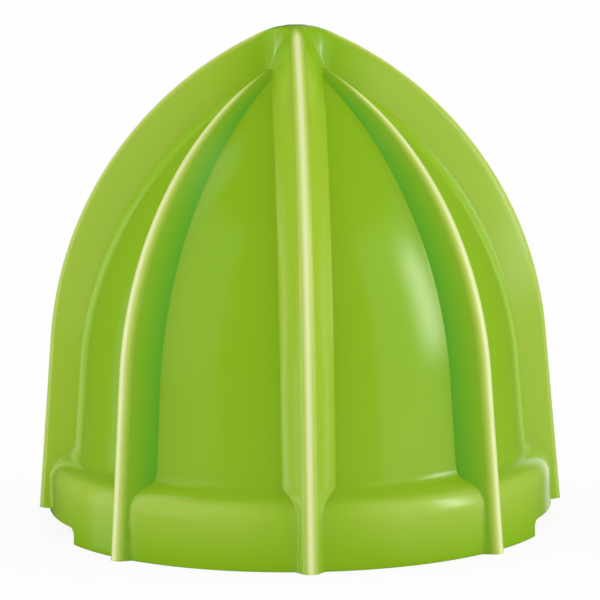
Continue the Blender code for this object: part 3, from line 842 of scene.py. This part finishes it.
def makeRails(c, small, panel, ledgeTop):
    # Plates from inside the wall to just short of the small cone's panels, a pair astride each long rib
    gap, half = clearance * mm, c["wall"] * mm / 2
    foot, top = small["flangeThickness"] * mm + gap, c["railTop"] * mm
    near = small["longWidth"] * mm / 2 + gap
    middle = near + c["railThickness"] * mm / 2
    wall, bandHeight = inset(panel, c["wall"] / 2), c["bandHeight"] * mm
    smallPanel = inset(ogive(*small["longRib"]), small["ribHeight"])
    outline = []
    for radius, height in ((bandPoint(c, foot).x - half, foot),
                           (bandPoint(c, bandHeight).x - half, bandHeight - half),
                           (radiusAt(wall, ledgeTop), ledgeTop - half / 2),
                           (radiusAt(wall, wall.shoulder), wall.shoulder),
                           (radiusAt(wall, top), top)):
        outline.append((sqrt(radius ** 2 - middle ** 2), height))
    for step in range(c["railSteps"] + 1):
        height = top + (foot - top) * step / c["railSteps"]
        outline.append((sqrt((radiusAt(smallPanel, height) + gap) ** 2 - near ** 2), height))
    mesh = bmesh.new()
    for rib in range(longRibs):
        turn = Matrix.Rotation(2 * pi * rib / longRibs, 4, "Z")
        for side in (-1, 1):
            verts = [mesh.verts.new((side * near, -reach, height)) for reach, height in outline]
            grown = bmesh.ops.extrude_face_region(mesh, geom=[mesh.faces.new(verts)])["geom"]
            farSide = [item for item in grown if isinstance(item, bmesh.types.BMVert)]
            bmesh.ops.translate(mesh, verts=farSide, vec=(side * c["railThickness"] * mm, 0, 0))
            bmesh.ops.transform(mesh, matrix=turn, verts=verts + farSide)
    bmesh.ops.recalc_face_normals(mesh, faces=mesh.faces)
    return makeObject("guideRails", mesh)


def makeNotchBlock(c):
    # One block through both sides of the skirt, with its upper long edges rounded
    mesh = bmesh.new()
    length = 2 * (c["longRib"][0] + overcut) * mm
    height = (c["notchHeight"] + overcut) * mm
    place = Matrix.Translation((0, 0, c["notchHeight"] * mm - height / 2))
    size = Matrix.Diagonal((length, c["notchWidth"] * mm, height, 1))
    bmesh.ops.create_cube(mesh, size=1, matrix=place @ size)
    upper = [edge for edge in mesh.edges if min(vert.co.z for vert in edge.verts) > 0
             and edge.verts[0].co.x * edge.verts[1].co.x < 0]
    bmesh.ops.bevel(mesh, geom=upper, offset=c["notchRound"] * mm, segments=c["notchSegments"], profile=0.5,
                    affect="EDGES", material=-1)
    return makeObject("notchBlock", mesh)


# Small cone

smallCone = {
    "longRib": (29.0, 5.0, 16.0, 60.0),
    "shortRib": (29.0, 5.0, 16.0, 56.4),
    "ribHeight": 3.4,
    "longWidth": 5.6,
    "shortWidth": 5.0,
    "tipRound": 5.0,
    "fillet": 0.3,
    "wall": 1.8,
    "flangeThickness": 1.8,
    "flangeSetback": 2.4,                      # from the large cone's skirt
    "flangeRound": 0.5,
    "bossRadius": 8.6,
    "bossFoot": 34.0,
    "flank": (0, 0.06, 0.12, 0.17, 0.21, 0.25, 0.32, 0.45, 0.6, 0.75, 0.88, 0.96, 1.0, 1.03),
    "strips": (0.02, 0.08, 0.2, 0.35, 0.5, 0.65, 0.8, 0.92, 0.98),
    "outsideSteps": (10, 44),                  # up to the shoulder, and along the arc
    "insideSteps": (4, 14),
    "rimSteps": 4,
}


def makeSmallCone(c, large, hub, material):
    longRib = ogive(*c["longRib"])
    panel = inset(longRib, c["ribHeight"])
    dome = makeDome(panel, longRib, ogive(*c["shortRib"]), c)
    thick, edgeRound = c["flangeThickness"] * mm, c["flangeRound"]
    flange = (large["bandRadius"] - large["wall"] - c["flangeSetback"]) * mm
    root, shoulder = wallPoint(panel, thick), wallPoint(panel, panel.shoulder)
    wall = inset(panel, c["wall"])
    wallSteps, arcSteps = c["outsideSteps"]
    outside = [root] + between(root, shoulder, wallSteps) + arcPoints(panel, arcSteps)
    top, bottom, under = Vector((flange, thick)), Vector((flange, 0)), wallPoint(wall, 0)
    rim = roundedCorner(root, top, bottom, edgeRound, c["rimSteps"])
    rim += roundedCorner(top, bottom, under, edgeRound, c["rimSteps"])
    wallSteps, arcSteps = c["insideSteps"]
    inside = [under] + between(under, wallPoint(wall, wall.shoulder), wallSteps)
    levels = [root] + between(root, shoulder, wallSteps)
    inside += arcPoints(wall, arcSteps, c["bossRadius"])
    levels += arcPoints(panel, arcSteps, c["bossRadius"])
    inside += [Vector((radius * mm, c["bossFoot"] * mm)) for radius in (c["bossRadius"], 0)]
    levels += [levels[-1], levels[-1]]
    rows = plainRows([dome.tip]) + ribbedRows(list(reversed(outside)))
    rows += plainRows(rim, [root] * len(rim)) + plainRows(inside, levels)
    obj = makeObject("small_cone_shell", spunMesh(rows, dome.steps, dome))
    socket = makeHexagon("crownSocket", hub["spigotFlats"] + 2 * clearance, c["bossFoot"] - overcut,
                         c["bossFoot"] + hub["spigotLength"])
    combine(obj, [socket], "DIFFERENCE")
    finishPiece(obj, material, "small_cone", "small_cone")


# Drive hub

driveHub = {
    "spigotFlats": 10.0,
    "spigotLength": 16.0,
    "spigotChamfer": 0.6,
    "radius": 7.4,
    "foot": 1.2,
    "collarRadius": 8.6,
    "collarHeight": 3.0,
    "boreFlats": 8.0,
    "boreDepth": 24.0,
    "leadIn": 0.8,
    "slotWidth": 1.6,
    "slotHeight": 12.0,
    "slotTurns": (45, -45),
    "edgeRound": 0.35,
    "grooveDepth": 0.8,
    "segments": 96,
}


def makeDriveHub(c, small, ring, material):
    foot, edge, flare = c["foot"], c["edgeRound"], c["collarRadius"] - c["radius"]
    top = small["bossFoot"] - clearance
    collarFoot = top - c["collarHeight"]
    groove, halfGroove = c["radius"] - c["grooveDepth"], ring["wire"] / 2 + clearance
    ringLevel, mouth = foot + ring["height"], foot - overcut
    outline = [(0, foot), (c["radius"] - edge, foot), (c["radius"], foot + edge),
               (c["radius"], ringLevel - halfGroove), (groove, ringLevel - halfGroove),
               (groove, ringLevel + halfGroove), (c["radius"], ringLevel + halfGroove),
               (c["radius"], collarFoot - flare), (c["collarRadius"], collarFoot),
               (c["collarRadius"], top - edge), (c["collarRadius"] - edge, top), (0, top)]
    rows = plainRows([Vector(point) * mm for point in outline])
    obj = makeObject("hub_body", spunMesh(rows, c["segments"]))
    combine(obj, [makeHexagon("hubSpigot", c["spigotFlats"], collarFoot, top + c["spigotLength"],
                              chamfer=c["spigotChamfer"])], "UNION")
    tools = [makeHexagon("spindleBore", c["boreFlats"], mouth, foot + c["boreDepth"], c["leadIn"] + overcut)]
    for number, turn in enumerate(c["slotTurns"]):
        mesh = bmesh.new()
        height = c["slotHeight"] + overcut
        place = Matrix.Rotation(radians(turn), 4, "Z") @ Matrix.Translation((0, 0, (mouth + height / 2) * mm))
        size = Matrix.Diagonal((2 * (c["radius"] + overcut) * mm, c["slotWidth"] * mm, height * mm, 1))
        bmesh.ops.create_cube(mesh, size=1, matrix=place @ size)
        tools.append(makeObject(f"footSlot{number + 1}", mesh))
    combine(obj, tools, "DIFFERENCE")
    finishPiece(obj, material, "small_cone", "drive_hub")


# Spring ring

springRing = {
    "wire": 1.6,
    "gap": 28.0,
    "height": 3.2,                             # over the hub's foot
    "endRound": 0.25,
    "endSegments": 3,
    "wireSegments": 20,
    "steps": 120,
}


def makeSpringRing(c, hub, material):
    # Round wire bent into an open ring, its ends rounded
    middle = hub["radius"] - hub["grooveDepth"] + clearance + c["wire"] / 2
    mesh = bmesh.new()
    start = Matrix.Translation((0, -middle * mm, (hub["foot"] + c["height"]) * mm))
    upright = Matrix.Rotation(pi / 2, 4, "Y")
    circle = bmesh.ops.create_circle(mesh, cap_ends=True, segments=c["wireSegments"],
                                     radius=c["wire"] * mm / 2, matrix=start @ upright)
    bmesh.ops.rotate(mesh, verts=circle["verts"], cent=(0, 0, 0),
                     matrix=Matrix.Rotation(radians(c["gap"] / 2), 3, "Z"))
    bmesh.ops.spin(mesh, geom=mesh.verts[:] + mesh.edges[:] + mesh.faces[:], cent=(0, 0, 0), axis=(0, 0, 1),
                   angle=2 * pi - radians(c["gap"]), steps=c["steps"], use_duplicate=False)
    bmesh.ops.recalc_face_normals(mesh, faces=mesh.faces)
    ends = [edge for face in mesh.faces if len(face.verts) > 4 for edge in face.edges]
    bmesh.ops.bevel(mesh, geom=ends, offset=c["endRound"] * mm, segments=c["endSegments"], profile=0.5,
                    affect="EDGES", material=-1)
    finishPiece(makeObject("ring_wire", mesh), material, "small_cone", "spring_ring")


makeCamera(camera)
makeWorld(studio)
makeFloor(studio)
scene.view_settings.view_transform = "Standard"
print("studio made")
conePlastic = makeLimePlastic(limePlastic)
makeLargeCone(largeCone, smallCone, conePlastic)
makeSmallCone(smallCone, largeCone, driveHub, conePlastic)
makeDriveHub(driveHub, smallCone, springRing, makeHubPlastic(hubPlastic))
makeSpringRing(springRing, driveHub, makeDrawnSteel(drawnSteel))
print("cone set made")
